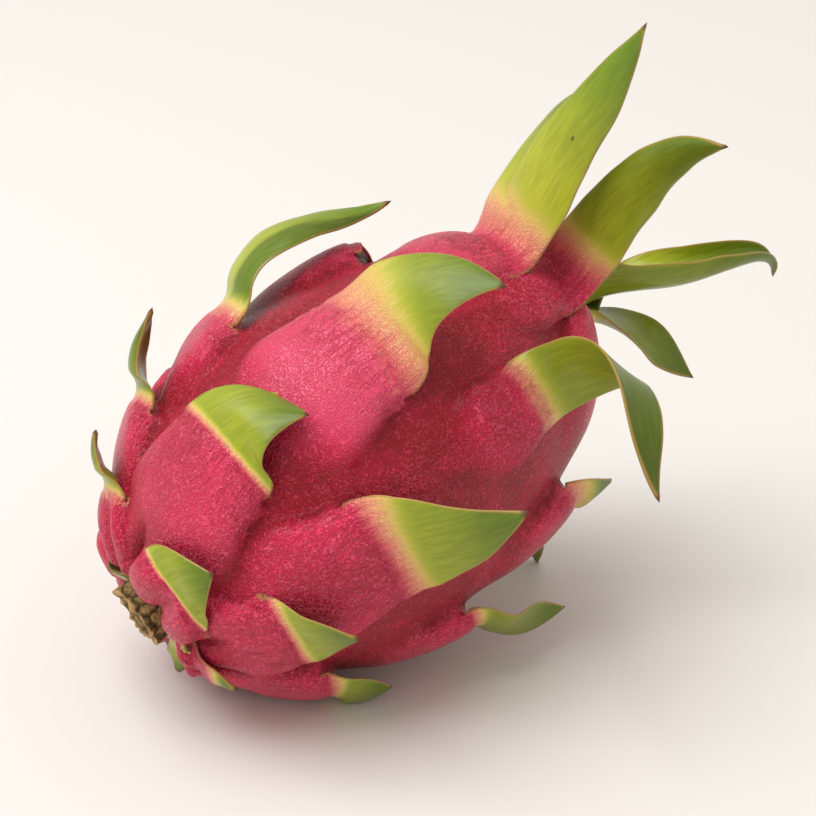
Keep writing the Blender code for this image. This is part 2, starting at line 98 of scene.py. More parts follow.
BASE_HEIGHT = 0.0050
BASE_SPREAD = 1.66
ROOT_SPREAD = 1.08
BASE_BLEND = 10.0
BASE_FRONT = 0.0030
BASE_HALVES_LONG = 3.0
BASE_ROOM = 0.78
ROOT_BOW = 0.25
WIDE_HALF = 0.014
SUNK = 0.0080
SUNK_DROP = 0.0024
LOBES = 11
LOBE_UNEVENNESS = 0.08
FIRST_CREASE = 15.0
CREASE_DEPTH = 0.0028
LOBE_SWELL = 0.0010
VALLEY_DEPTH = 0.0007
STEM_PIT = 0.0040
CROWN_DISH = 0.0035
GROWN_LENGTH = 0.0080
EDGE_THICK = 0.0008
TIP_THICK = 0.0011
ROOT_THICK = 0.0030
LONG_BLADE = 0.028
TALLEST_RANK = 21

RANKS = list(range(FIRST_RANK, LAST_RANK + 1))


def turn_of_rank(rank):
    return (FIRST_TURN + GOLDEN_ANGLE * rank) % 360.0


def share_of_rank(rank):
    share = FIRST_SHARE + SHARE_STEP * rank
    share += STEM_SQUEEZE * min(0, rank) ** 2
    share -= CROWN_SQUEEZE * max(0, rank - CROWN_SQUEEZE_FROM) ** 2
    return share


print("turns of the first ranks:", [turn_of_rank(rank) for rank in range(6)])

# %% [markdown]
# ## The pose of each scale
# No two scales are alike: some lie flat, some arch over and droop. A pose says how long and wide
# a scale is, how far it lifts off the skin, and how it curls outwards, veers sideways and twists
# from its root to its tip. It also says how hollow and how full the blade is, and how far the scale
# stands from the place that its rank gives it. Scales without a pose of their own take what is
# usual for their rank, with a small random spread that is seeded, so the fruit comes out the same
# every time.

# %% Poses
Pose = namedtuple("Pose", "length half lift curl veer twist cup fullness shift climb")

POSES = {
    -4: Pose(0.0080, 0.0060, 15, (3, 21, 0), (29, 65, 0), (100, 9, 0), 30, 1.6, -26, -0.0146),
    -3: Pose(0.0114, 0.0053, 53, (-92, -100, 0), (-64, -47, 0), (103, -34, 0), 30, 1.6, 2, -0.0104),
    0: Pose(0.0140, 0.0070, 35, (45, -70, -25), (30, 0, 0), (60, 10, 0), 38, 1.5, -30, 0.09),
    1: Pose(0.0115, 0.0060, 7, (0, 0, 0), (10, 10, 0), (0, -10, 0), 20, 1.5, -38, -0.03),
    3: Pose(0.0135, 0.0105, 18, (25, -60, -5), (30, 20, 0), (20, 0, 0), 16, 1.4, -10, -0.035),
    5: Pose(0.0230, 0.0100, 50, (-15, -95, 100), (85, 35, 15), (55, 25, 0), 55, 1.5, -7, 0.065),
    6: Pose(0.0160, 0.0100, 16, (20, 0, 5), (0, 0, 5), (-20, -15, 5), 16, 1.4, -22, -0.022),
    8: Pose(0.0210, 0.0140, 12, (-10, -60, 20), (55, 55, -5), (0, 60, -10), 25, 1.4, -3, -0.005),
    9: Pose(0.0150, 0.0105, 10, (-5, -25, -5), (15, 5, 0), (45, 30, 5), 12, 1.5, -26, -0.09),
    10: Pose(0.0180, 0.0110, 2, (-25, -25, -20), (0, 0, 0), (0, 0, 0), 20, 1.5, -6, 0.0),
    11: Pose(0.0320, 0.0130, 22, (60, -10, -5), (25, -20, -10), (-25, 15, 5), 14, 1.4, 0, -0.027),
    12: Pose(0.0200, 0.0110, 30, (35, 30, 15), (0, -30, -30), (0, 0, 0), 25, 1.6, -8, 0.0),
    13: Pose(0.0485, 0.0084, 58, (-165, -110, 175), (25, 25, -30), (-35, -50, -30), 30, 2, -19, -0.03),
    14: Pose(0.0260, 0.0100, 40, (-5, -60, 90), (65, 0, 30), (-40, 105, 10), 15, 1.5, 8, -0.045),
    16: Pose(0.0325, 0.0145, 28, (70, -45, -45), (50, 70, 20), (15, 35, -5), 14, 1.4, -20, -0.04),
    17: Pose(0.0260, 0.0100, 60, (70, 60, 20), (0, 0, 0), (0, 0, 0), 25, 1.8, 0, 0.0),
    18: Pose(0.0105, 0.0110, 0, (-120, -100, -60), (0, 0, 0), (0, 0, 0), 20, 1.5, 0, 0.0),
    19: Pose(0.0515, 0.0085, 30, (240, 175, -20), (-45, 50, 40), (-10, -90, -5), 28, 2.2, -27, -0.01),
    21: Pose(0.0615, 0.0090, 75, (100, -20, 60), (70, 10, -25), (-55, -25, -10), 30, 2.6, -6, 0.04),
    22: Pose(0.0115, 0.0095, 30, (40, -40, 10), (40, 5, 0), (40, -5, 0), 20, 1.5, -20, -0.10),
    24: Pose(0.0620, 0.0080, 94, (70, 30, 75), (-20, 45, 75), (0, -25, 10), 33, 2.6, -30, 0.018),
    26: Pose(0.0460, 0.0090, 70, (10, 50, -30), (20, 55, 30), (-60, -5, -15), 35, 2.4, 15, -0.09),
    27: Pose(0.0330, 0.0080, 85, (135, 35, -30), (-60, -25, 15), (-155, -120, -10), 30, 2.2, 29, 0.025),
    32: Pose(0.0588, 0.0125, 84, (108, -34, 450), (-61, 35, -39), (-193, -83, -9), 125, 2.4, 30, -0.015),
}

# ranks, and the blade's usual millimetres at those ranks
USUAL_LENGTHS = ((-4, 0, 8, 16, 22, 26, 28, 31), (6, 9, 21, 32, 46, 40, 10, 7))
USUAL_HALVES = ((-4, 0, 8, 18, 24, 28, 31), (4, 6, 12, 12, 8, 6, 5))
# long blades are straps, short ones triangles
FULLNESS_OF_LENGTH = ((0.030, 0.042), (1.5, 2.4))
SHORTER_BELOW = 0.35
USUAL_CUP = 28
POSE_SEED = 4000


def usual_pose(rank):
    spread = random.Random(POSE_SEED + rank)
    low = 0.5 - 0.5 * math.cos(math.radians(turn_of_rank(rank)))
    length = np.interp(rank, *USUAL_LENGTHS) * 1e-3
    length = length * (1.0 - SHORTER_BELOW * low) * spread.uniform(0.92, 1.08)
    half = np.interp(rank, *USUAL_HALVES) * 1e-3
    curl = (spread.uniform(10, 30), spread.uniform(0, 20), spread.uniform(-10, 40))
    veer = (0.0, spread.uniform(-15, 15), spread.uniform(-15, 15))
    twist = (0.0, spread.uniform(-10, 10), spread.uniform(-10, 10))
    fullness = np.interp(length, *FULLNESS_OF_LENGTH)
    lift = spread.uniform(7, 12)
    return Pose(length, half, lift, curl, veer, twist, USUAL_CUP, fullness, 0.0, 0.0)


ALL_POSES = {rank: POSES.get(rank) or usual_pose(rank) for rank in RANKS}


def turn_of(rank):
    return turn_of_rank(rank) + ALL_POSES[rank].shift


def share_of(rank):
    return share_of_rank(rank) + ALL_POSES[rank].climb


lengths = [round(pose.length * 1000) for pose in ALL_POSES.values()]
print("blade lengths in mm, from stem to crown:", lengths)

# %% [markdown]
# ## The skin without its scales
# The body is a surface of revolution, blunt at the stem and more slender at the crown. An angle
# runs from 0 at the stem end to pi at the crown end. We also keep a table of the distance walked
# over the skin, because the swollen bases are measured by that distance and not by the angle.


# %% Body of revolution
def skin_height(angle):
    cosine = np.cos(angle)
    stem_part = WIDEST_SHARE * (1.0 - cosine)
    crown_part = WIDEST_SHARE - (1.0 - WIDEST_SHARE) * cosine
    return BODY_LENGTH * np.where(cosine > 0.0, stem_part, crown_part)


def skin_radius(angle):
    sine = np.clip(np.sin(angle), 0.0, 1.0)
    power = np.where(np.cos(angle) > 0.0, STEM_END_POWER, CROWN_END_POWER)
    return BODY_RADIUS * sine**power


TABLE_LENGTH = 1801
ANGLE_TABLE = np.linspace(0.0, math.pi, TABLE_LENGTH)
STEPS = np.hypot(np.diff(skin_height(ANGLE_TABLE)), np.diff(skin_radius(ANGLE_TABLE)))
WALK_TABLE = np.concatenate([[0.0], np.cumsum(STEPS)])


def walk_of(angle):
    return np.interp(angle, ANGLE_TABLE, WALK_TABLE)


def lean_of_skin(angle):
    step = 1e-4
    along = skin_height(angle + step) - skin_height(angle - step)
    outward = skin_radius(angle + step) - skin_radius(angle - step)
    return np.degrees(np.arctan2(outward, along))


def smooth_step(x):
    x = np.clip(x, 0.0, 1.0)
    return x * x * (3.0 - 2.0 * x)


def rise_past(x, start, length):
    return smooth_step((x - start) / length)


print("walk over the skin from end to end:", round(float(WALK_TABLE[-1]) * 1000), "mm")

# %% [markdown]
# ## Swollen bases
# Under every scale the rind swells into a soft cushion. It is highest where the blade leaves it,
# falls away steeply beneath the blade, and fades towards the stem. Neighbouring cushions meet in
# valleys: adding their heights at a high power keeps the tops round and makes the valleys narrow,
# as they are on the fruit. The same loop remembers which cushion each point belongs to.

# %% Cushions and the finished skin
# where each of these begins, walking up from the stem, and over which length it does so
LOBES_BEGIN = (0.008, 0.006)
LOBES_END = (0.019, 0.010)
VALLEYS_BEGIN = (0.020, 0.010)
PIT_ENDS = (0.007, 0.007)
# the same for the dish in the crown, in shares of the angle
DISH_BEGINS = (0.955, 0.045)
WAVE_SEED = 11


def lobe_relief(walk, turn):
    near = rise_past(walk, *LOBES_BEGIN) * (1.0 - rise_past(walk, *LOBES_END))
    uneven = turn + LOBE_UNEVENNESS * np.sin(3.0 * turn + 1.0)
    wave = np.abs(np.sin(LOBES / 2.0 * (uneven - math.radians(FIRST_CREASE))))
    return near * (LOBE_SWELL * wave - CREASE_DEPTH * (1.0 - wave) ** 2)


def base_relief(angle, turn, open_rank=None):
    """Height over the bare skin, the rank whose base is highest, and that base's own coordinates.

    The base of open_rank doesn't fall away in front, as if its blade were still part of it."""
    walk = walk_of(angle)
    radius = skin_radius(angle)
    total = np.zeros_like(walk)
    highest = np.full_like(walk, -1.0)
    owner = np.full(walk.shape, FIRST_RANK)
    along_owner = np.full_like(walk, -0.05)
    across_owner = np.zeros_like(walk)
    for rank in RANKS:
        pose = ALL_POSES[rank]
        centre = math.radians(turn_of(rank))
        root_walk = float(walk_of(math.pi * share_of(rank)))
        length = min(BASE_HALVES_LONG * pose.half, BASE_ROOM * root_walk)
        across = radius * ((turn - centre + math.pi) % (2.0 * math.pi) - math.pi)
        back = (root_walk - walk) / length
        bow = ROOT_BOW * pose.half / length * np.minimum(1.0, np.abs(across) / pose.half) ** 2
        back = back - bow
        spread = ROOT_SPREAD + (BASE_SPREAD - ROOT_SPREAD) * smooth_step(back / 0.4)
        half = pose.half * spread * np.sqrt(np.clip(1.0 - back, 0.0, 1.0)) + 1e-6
        flat = 2.0 + 5.0 * (1.0 - smooth_step(back / 0.5))
        side = 1.0 - np.minimum(1.0, np.abs(across) / half) ** flat
        rise = np.clip(1.0 - back, 0.0, 1.0) ** 1.4 * (1.0 + 0.6 * back)
        front = smooth_step(1.0 + back * length / BASE_FRONT)
        height = BASE_HEIGHT * min(1.0, 0.35 + pose.half / WIDE_HALF)
        if rank != open_rank:
            rise = rise * np.where(back < 0.0, front, 1.0)
        lump = np.clip(height * side * rise, 0.0, None)
        total += lump**BASE_BLEND
        leads = lump > highest
        highest = np.where(leads, lump, highest)
        owner = np.where(leads, rank, owner)
        along_owner = np.where(leads, -back * length, along_owner)
        across_owner = np.where(leads, across, across_owner)
    height = total ** (1.0 / BASE_BLEND) + lobe_relief(walk, turn)
    apart = rise_past(walk, *VALLEYS_BEGIN) * (1.0 - smooth_step(height / 0.0022))
    height = height - VALLEY_DEPTH * apart
    return height, owner, along_owner, across_owner, highest


def undulation(angle, turn):
    waves = random.Random(WAVE_SEED)
    total = np.zeros_like(angle)
    for count in (1, 2, 2, 3, 3, 4):
        climb = waves.uniform(1.5, 5.0)
        phase = waves.uniform(0.0, 6.28)
        total += np.sin(count * turn + climb * angle + phase)
    return UNDULATION * total / 2.0 * np.sin(angle)


def crown_dish(angle):
    return -CROWN_DISH * rise_past(angle / math.pi, *DISH_BEGINS)


def stem_pit(angle):
    return STEM_PIT * (1.0 - rise_past(walk_of(angle), *PIT_ENDS))


def raised_points(angle, turn, out):
    lean = np.radians(lean_of_skin(np.clip(angle, 1e-3, math.pi - 1e-3)))
    radius = skin_radius(angle) + out * np.cos(lean)
    height = skin_height(angle) - out * np.sin(lean) + crown_dish(angle) + stem_pit(angle)
    return np.stack([radius * np.cos(turn), radius * np.sin(turn), height], axis=-1)


def skin_points(angle, turn, open_rank=None, lift=0.0):
    out = base_relief(angle, turn, open_rank)[0] + undulation(angle, turn) + lift
    return raised_points(angle, turn, out)


TILT = math.radians(AXIS_TILT)
TOP = np.array([-math.sin(TILT), 0.0, math.cos(TILT)])
FRONT = np.array([0.0, -1.0, 0.0])
AXIS = np.array([math.cos(TILT), 0.0, math.sin(TILT)])


def to_room(points):
    return points @ np.stack([TOP, FRONT, AXIS])


# the lowest point of the underside, pressed flat a little, is where the table is
under_angle, under_turn = np.meshgrid(np.linspace(0.2, 2.9, 200), np.linspace(2.2, 4.2, 120))
underside = to_room(skin_points(under_angle.ravel(), under_turn.ravel()))
FLOOR = float(underside[:, 2].min()) + REST_FLAT
print("floor below the stem end by", round(-FLOOR * 1000, 1), "mm")

# %% [markdown]
# ## The line that a blade follows
# A blade grows along a spine. Each small step turns a set of three directions: ahead, across and
# out. Curl tips ahead towards out, veer swings it sideways, and twist rolls the blade about itself.
# The blade's cross-section then bends round the spine, close to the body's own curve at the root
# and into a channel towards the tip.

# %% Spine of a blade
Spine = namedtuple("Spine", "place ahead across out half bend thick share")
SPINE_STEPS = 160
SUNK_STEPS = 8
LIFTING_SHARE = 0.15


def between(stations, share):
    values = np.asarray(stations, float)
    values = np.concatenate([[2 * values[0] - values[1]], values, [2 * values[-1] - values[-2]]])
    place = np.clip(share, 0.0, 1.0) * (len(values) - 3)
    first = np.minimum(place.astype(int), len(values) - 4)
    x = place - first
    a, b, c, d = (values[first + i] for i in range(4))
    curve = 2 * b + (c - a) * x + (2 * a - 5 * b + 4 * c - d) * x**2
    return (curve + (3 * b - a - 3 * c + d) * x**3) / 2.0


def turned(first, second, angle):
    cosine = math.cos(angle)
    sine = math.sin(angle)
    return cosine * first + sine * second, cosine * second - sine * first


def spine_of(rank, stations):
    pose = ALL_POSES[rank]
    angle = math.pi * share_of(rank)
    turn = math.radians(turn_of(rank))
    start = float(lean_of_skin(angle))
    axis = np.array([0.0, 0.0, 1.0])
    radial = np.array([math.cos(turn), math.sin(turn), 0.0])
    across = np.array([-math.sin(turn), math.cos(turn), 0.0])
    ahead, out = turned(axis, radial, math.radians(start))
    root = skin_points(np.array([angle]), np.array([turn]))[0]
    fine = np.linspace(0.0, 1.0, SPINE_STEPS + 1)
    middle = (fine[1:] + fine[:-1]) / 2.0
    rates = [np.radians(between(values, middle)) for values in (pose.curl, pose.veer, pose.twist)]
    rates[0] = rates[0] + math.radians(pose.lift) / LIFTING_SHARE * (middle < LIFTING_SHARE)
    places, aheads, acrosses, outs = [root], [ahead], [across], [out]
    step = pose.length / SPINE_STEPS
    for curl, veer, twist in zip(*(rate / SPINE_STEPS for rate in rates)):
        ahead, out = turned(ahead, out, curl)
        ahead, across = turned(ahead, across, veer)
        across, out = turned(across, out, twist)
        places.append(places[-1] + step * ahead)
        aheads.append(ahead)
        acrosses.append(across)
        outs.append(out)
    buried = np.linspace(-1.0, 0.0, SUNK_STEPS + 1)[:-1]
    back = buried[:, None] * SUNK * aheads[0] - (SUNK_DROP * buried**2)[:, None] * outs[0]
    places = np.concatenate([root + back, places])
    aheads, acrosses, outs = ([v[0]] * SUNK_STEPS + v for v in (aheads, acrosses, outs))
    distance = np.concatenate([buried * SUNK, fine * pose.length])
    share = np.clip(distance / pose.length, 0.0, 1.0)
    half = pose.half * (1.0 - share**pose.fullness)
    half = half * np.clip(1.0 - np.clip(-distance / SUNK, 0.0, 1.0) ** 4, 0.0, 1.0) ** 0.25
    body_bend = max(0.25, math.cos(math.radians(start))) / (float(skin_radius(angle)) + BASE_HEIGHT)
    root_bend = body_bend * (2.4 - 1.2 * smooth_step(share * 4.0))
    tip_bend = math.radians(pose.cup) / np.maximum(half, 0.25 * abs(pose.half) + 1e-4)
    bend = root_bend + (tip_bend - root_bend) * smooth_step(share * 1.6)
    thick = np.interp(share, (0.0, 0.35, 1.0), (ROOT_THICK, 0.6 * ROOT_THICK, TIP_THICK))
    thick = np.minimum(thick, max(EDGE_THICK, 0.45 * pose.half))

    def at(values):
        values = np.asarray(values)
        if values.ndim == 1:
            return np.interp(stations, distance, values)
        return np.stack([np.interp(stations, distance, values[:, i]) for i in range(3)], axis=-1)

    return Spine(*(at(v) for v in (places, aheads, acrosses, outs, half, bend, thick, share)))


whole_length = np.array([ALL_POSES[TALLEST_RANK].length])
crown_tip = to_room(spine_of(TALLEST_RANK, whole_length).place)[0]
print("tallest scale's tip over the floor:", round((crown_tip[2] - FLOOR) * 1000), "mm")

# %% [markdown]
# ## The surface of a blade
# A scale's blade is a flat sack that tapers to its tip. We take a sphere and move each of its
# points: how high it lies says how far along the blade it goes, and its turn says where it sits
# round the cross-section. The margins stay round and only 0.8 mm thick. A slow random ripple keeps
# them from being ruler-straight, for a real scale grows a little unevenly.

# %% Points of a blade
RIPPLE_MM = 9.0
RIPPLE_WIDTH = 0.10
RIPPLE_HEIGHT = 0.0004


def ripple(rank, distance, side, count=1.0):
    row = 17.0 * rank + 300.0 * side
    steps = [float(d) * count * 1000.0 / RIPPLE_MM for d in distance]
    return np.array([noise.noise((row, 0.5, step)) for step in steps])


def grown_from_base(rank, growth, across):
    """Where a blade's outer face would be if it simply carried on over the skin from its base."""
    root_walk = float(walk_of(math.pi * share_of(rank)))
    angle = np.interp(root_walk + growth, WALK_TABLE, ANGLE_TABLE)
    turn = math.radians(turn_of(rank)) + across / np.maximum(skin_radius(angle), 0.002)
    lift = -0.00015 + 0.0002 * smooth_step(growth / 0.0015)
    return skin_points(angle, turn, rank, lift)


def blade_points(rank, along, round_turn):
    pose = ALL_POSES[rank]
    stations = -SUNK + (pose.length + SUNK) * along
    spine = spine_of(rank, stations)
    across = -np.cos(round_turn)
    sine = np.sin(round_turn)
    free = smooth_step(spine.share * 5.0)
    uneven = np.where(across > 0.0, ripple(rank, stations, 1.0), ripple(rank, stations, 2.0))
    half = spine.half * (1.0 + RIPPLE_WIDTH * free * uneven)
    swing = spine.bend * half * across
    sideways = np.sin(swing) / spine.bend
    sag = (np.cos(swing) - 1.0) / spine.bend
    outer = spine.place + spine.across * sideways[:, None] + spine.out * sag[:, None]
    normal = spine.across * np.sin(swing)[:, None] + spine.out * np.cos(swing)[:, None]
    wave = RIPPLE_HEIGHT * free * across**2 * np.sign(across) * ripple(rank, stations, 3.0, 1.3)
    thick = EDGE_THICK + (spine.thick - EDGE_THICK) * (1.0 - across**2)
    depth = (1.0 - np.sign(sine) * np.abs(sine) ** 0.5) / 2.0
    depth = np.where((along <= 0.0) | (along >= 1.0), 0.5, depth)
    grown = grown_from_base(rank, stations, across * half)
    apart = smooth_step(stations / min(GROWN_LENGTH, 0.4 * pose.length))[:, None]
    outer = grown + (outer - grown) * apart
    points = outer - normal * (thick * depth - wave)[:, None]
    return points, stations, across * half, half * (1.0 - np.abs(across)), spine.share


def kept_off_floor(points, ring, dip=0.0003):
    """Rings that would reach through the table are lifted, and the rings next to them a little."""
    rings = np.unique(ring)
    lift = np.array([max(0.0, FLOOR - dip - points[ring == i, 2].min()) for i in rings])
    spread = np.array([0.1, 0.2, 0.4, 0.2, 0.1])
    for _ in range(6):
        lift = np.maximum(lift, np.convolve(np.pad(lift, 2, mode="edge"), spread, mode="valid"))
    points = points.copy()
    points[:, 2] += lift[np.searchsorted(rings, ring)]
    return points


# %% [markdown]
# ## What each point remembers
# Every point of the skin will remember where it grew: how far from its scale's root, how near the
# margin, on the outer or the inner face, and on a cushion's top or down in a valley. The colours
# will follow these memories. Tables say where each scale's pink ends and how light its green is.

# %% Memories of each point
MEMORIES = (
    "growth", "across", "edge", "inside", "valley", "blade", "bend",
    "ripe", "share", "tip", "rim", "shade", "number", "bloom_and_highlight",
)

# millimetres from the root to where the pink ends, and over how many more it turns green
TURNING = {
    -4: (-5.0, 9.0), -3: (-5.0, 9.0), -2: (3.0, 3.0), -1: (2.0, 2.0), 0: (-1.0, 3.5),
    1: (4.0, 3.5), 3: (0.5, 1.2), 5: (-0.6, 4.0), 6: (0.4, 3.2), 8: (0.4, 2.4), 11: (0.5, 8.0),
    13: (-1.5, 7.0), 14: (0.5, 3.5), 16: (-2.5, 15.0), 18: (10.0, 12.0), 19: (-3.0, 8.0),
    21: (2.5, 13.0), 24: (6.0, 10.0), 26: (2.5, 13.0),
}
TURNING_SEED = 7000

# 0 is a dark blade and 1 a light one, on its outer and on its inner face; partly each blade's own
# tone, partly painted light and shade for how brightly each blade is lit
SHADES = {
    -4: 0.6, -3: 0.4, 3: 0.5, 8: 0.5, 11: 0.5, 13: 0.7, 16: 0.4, 19: 0.4,
    21: 0.95, 24: 0.6, 26: 0.85, 27: 0.15, 32: 0.3,
}
SHADE_SEED = 8000
# painted light and shade: inner faces are drawn dark where they lie in shadow, lighter where lit
INNER_SHADES = {0: 0.1, 5: 0.1, 27: 0.3, 32: 0.9}

# the scale with painted shade on one half of its blade: that half is drawn darker, as if folded into
# shadow
HALF_SHADED_RANK = 13

# cushions with a stronger pale bloom than the others: partly the rind's own bloom and partly a
# painted highlight, strongest where the light falls on them
BLOOMS_AND_HIGHLIGHTS = {3: 0.3, 5: 0.4, 8: 0.35, 13: 0.6, 16: 1.0, 18: 0.6, 21: 0.5, 26: 0.5}
USUAL_BLOOM_AND_HIGHLIGHT = 0.12


def turning_of(rank):
    if rank in TURNING:
        start, width = TURNING[rank]
    elif rank >= 19:
        start, width = -2.0, 8.0
    else:
        spread = random.Random(TURNING_SEED + rank)
        start, width = spread.uniform(0.2, 1.0), spread.uniform(2.0, 4.0)
    return start * 1e-3, width * 1e-3


def shade_of(rank):
    return SHADES.get(rank, random.Random(SHADE_SEED + rank).uniform(0.1, 0.7))


def rim_width(rank):
    return 0.0010 if rank < 0 else 0.0004


def is_long(rank):
    return ALL_POSES[rank].length > LONG_BLADE


def dry_length(rank):
    return 0.0022 if is_long(rank) else 0.0013


BLOOM_AND_HIGHLIGHT_TABLE = np.array([BLOOMS_AND_HIGHLIGHTS.get(rank, USUAL_BLOOM_AND_HIGHLIGHT) for rank in RANKS])
TURN_TABLE = np.array([turning_of(rank) for rank in RANKS])
SHADE_TABLE = np.array([shade_of(rank) for rank in RANKS])
print("pink turns to green over, in mm:", [round(v * 1000, 1) for v in TURN_TABLE[:, 1]])


def ripe_of(index, growth):
    return (growth - TURN_TABLE[index, 0]) / TURN_TABLE[index, 1]


# %% [markdown]
# ## Building body and blades
# The body starts as a sphere whose points are moved onto the skin worked out above, and each blade
# as a smaller one. On the body most memories say that no blade is near.

# %% Body and blades as bmesh shapes
BODY_SIDES = 260
BODY_RINGS = 190
FAR_FROM_EDGE = 0.01
FAR_FROM_RIM = 10.0
FAR_FROM_TIP = 20.0


def new_collection(name):
    group = bpy.data.collections.new(name)
    bpy.context.scene.collection.children.link(group)
    return group


WORK = new_collection("work")
BLADES = new_collection("blades")


def object_from(shape, name, group=WORK):
    mesh = bpy.data.meshes.new(name)
    shape.to_mesh(mesh)
    shape.free()
    item = bpy.data.objects.new(name, mesh)
    group.objects.link(item)
    return item


def sphere(sides, rings):
    """A sphere, the angle of each of its points from the lower pole, and their turns."""
    shape = bmesh.new()
    bmesh.ops.create_uvsphere(shape, u_segments=sides, v_segments=rings, radius=1.0)
    unit = np.array([v.co[:] for v in shape.verts])
    angle = np.arccos(np.clip(-unit[:, 2], -1.0, 1.0))
    return shape, angle, np.arctan2(unit[:, 1], unit[:, 0])


def move_points(shape, points):
    for vertex, place in zip(shape.verts, points):
        vertex.co = place


def body_shape():
    shape, angle, turn = sphere(BODY_SIDES, BODY_RINGS)
    height, owner, along, across, own = base_relief(angle, turn)
    points = to_room(raised_points(angle, turn, height + undulation(angle, turn)))
    move_points(shape, points)
    index = owner - FIRST_RANK
    off_base = 2.0 * (1.0 - smooth_step(own / 0.0012)) + 3.0 * rise_past(along, 0.0002, 0.001)
    near_root = rise_past(along, -0.014, 0.012) * (1.0 - smooth_step(along / 0.001))
    memory = {
        "growth": along,
        "across": across,
        "edge": np.full_like(along, FAR_FROM_EDGE),
        "inside": (along > 0.0015) * 0.5,
        "valley": 1.0 - smooth_step(height / 0.0024),
        "blade": 0.0 * along,
        "bend": near_root * smooth_step(own / 0.002),
        "ripe": np.maximum(-3.0, ripe_of(index, np.minimum(along, 0.001)) - off_base),
        "share": 0.0 * along,
        "tip": np.full_like(along, FAR_FROM_TIP),
        "rim": np.full_like(along, FAR_FROM_RIM),
        "shade": SHADE_TABLE[index],
        "number": owner.astype(float),
        # painted highlight, partly a real bloom: paler on the cushions' tops
        "bloom_and_highlight": BLOOM_AND_HIGHLIGHT_TABLE[index] * rise_past(own, 0.0015, 0.002),
    }
    return shape, points, memory


def blade_detail(rank):
    return (28, 48) if is_long(rank) else (20, 26)


def blade_shape(rank):
    sides, rings = blade_detail(rank)
    shape, angle, round_turn = sphere(sides, rings)
    along = angle / math.pi
    ring = np.round(along * rings).astype(int)
    round_turn[(ring == 0) | (ring == rings)] = math.pi / 2.0
    points, growth, across, edge, share = blade_points(rank, along, round_turn)
    points = kept_off_floor(to_room(points), ring)
    move_points(shape, points)
    if shape.calc_volume(signed=True) < 0.0:
        bmesh.ops.reverse_faces(shape, faces=shape.faces)
    index = rank - FIRST_RANK
    inner = np.sin(round_turn) < -0.05
    # painted shade: inner faces take their own, mostly dark, values
    shade = np.where(inner, INNER_SHADES.get(rank, 0.0), SHADE_TABLE[index])
    # painted shade: one half of this blade is drawn darker, as if that half were folded into shadow
    if rank == HALF_SHADED_RANK:
        shade = shade * (1.0 - rise_past(across, 0.0008, 0.0006))
    memory = {
        "growth": growth,
        "across": across,
        "edge": np.where(growth < 0.0, FAR_FROM_EDGE, edge),
        "inside": np.where(inner, 1.0, 0.0),
        "valley": 0.0 * growth,
        "blade": smooth_step(growth / 0.0015),
        "bend": 1.0 - smooth_step(growth / min(0.010, 0.2 * ALL_POSES[rank].length)),
        "ripe": ripe_of(index, growth),
        "share": share,
        "tip": (ALL_POSES[rank].length - growth) / dry_length(rank),
        "rim": np.where(growth < -0.001, FAR_FROM_RIM, edge / rim_width(rank)),
        "shade": shade,
        "number": np.full_like(growth, float(rank)),
        "bloom_and_highlight": np.full_like(growth, BLOOM_AND_HIGHLIGHT_TABLE[index]),
    }
    return shape, points, memory


shape, points, memory = body_shape()
fruit = object_from(shape, "dragon_fruit")
first_blade_point = len(points)
grown = [(points, memory)]
for rank in RANKS:
    shape, points, memory = blade_shape(rank)
    object_from(shape, "blade", BLADES)
    grown.append((points, memory))
all_points = np.concatenate([points for points, _ in grown])
all_memory = {name: np.concatenate([memory[name] for _, memory in grown]) for name in MEMORIES}
print("points before joining:", len(all_points))


# %% [markdown]
# ## Growing them together
# The body and its 37 blades are joined into one skin, and what lies below the table's plane is cut
# away, which leaves the small flat spot that the fruit rests on.

# %% Joining and trimming
def boolean(item, operation, **operands):
    step = item.modifiers.new("join", "BOOLEAN")
    step.operation = operation
    step.solver = "MANIFOLD"
    for name, value in operands.items():
        setattr(step, name, value)
    bpy.context.view_layer.update()
    graph = bpy.context.evaluated_depsgraph_get()
    mesh = bpy.data.meshes.new_from_object(item.evaluated_get(graph))
    item.modifiers.clear()
    item.data = mesh


def without_scraps(item):
    """Removes scraps without thickness, two faces on the same points, that a join can leave."""
    shape = bmesh.new()
    shape.from_mesh(item.data)
    shape.verts.index_update()
    on_points = {}
    for face in shape.faces:
        on_points.setdefault(frozenset(v.index for v in face.verts), []).append(face)
    scraps = [face for faces in on_points.values() if len(faces) > 1 for face in faces]
    bmesh.ops.delete(shape, geom=scraps, context="FACES")
    still_open = sum(not edge.is_manifold for edge in shape.edges)
    print("scraps removed:", len(scraps), "edges left open:", still_open)
    shape.to_mesh(item.data)
    shape.free()


def cutter_box():
    width, thick = 0.4, 0.02
    shape = bmesh.new()
    bmesh.ops.create_cube(shape, size=1.0)
    bmesh.ops.scale(shape, vec=(width, width, thick), verts=shape.verts)
    bmesh.ops.translate(shape, vec=(0.05, 0.0, FLOOR - thick / 2.0), verts=shape.verts)
    return object_from(shape, "table_side")


boolean(fruit, "UNION", operand_type="COLLECTION", collection=BLADES)
print("joined:", len(fruit.data.vertices), "points")
table_side = cutter_box()
boolean(fruit, "DIFFERENCE", object=table_side)
without_scraps(fruit)
for item in [*BLADES.objects, table_side]:
    bpy.data.objects.remove(item)
bpy.data.collections.remove(BLADES)
print("trimmed:", len(fruit.data.vertices), "points")

# %% [markdown]
# ## Softening the joins
# On the fruit a blade flows out of its cushion without any step: both are the same skin. The join
# leaves a faint crease there, so we hand each point of the joined skin the memories of the nearest
# point that it came from, find the crease on the outer side, and let the points near it relax
# towards their neighbours. The sharp fold under each blade is real and stays.

# %% Handing the memories over
LENDING_REACH = 0.0009
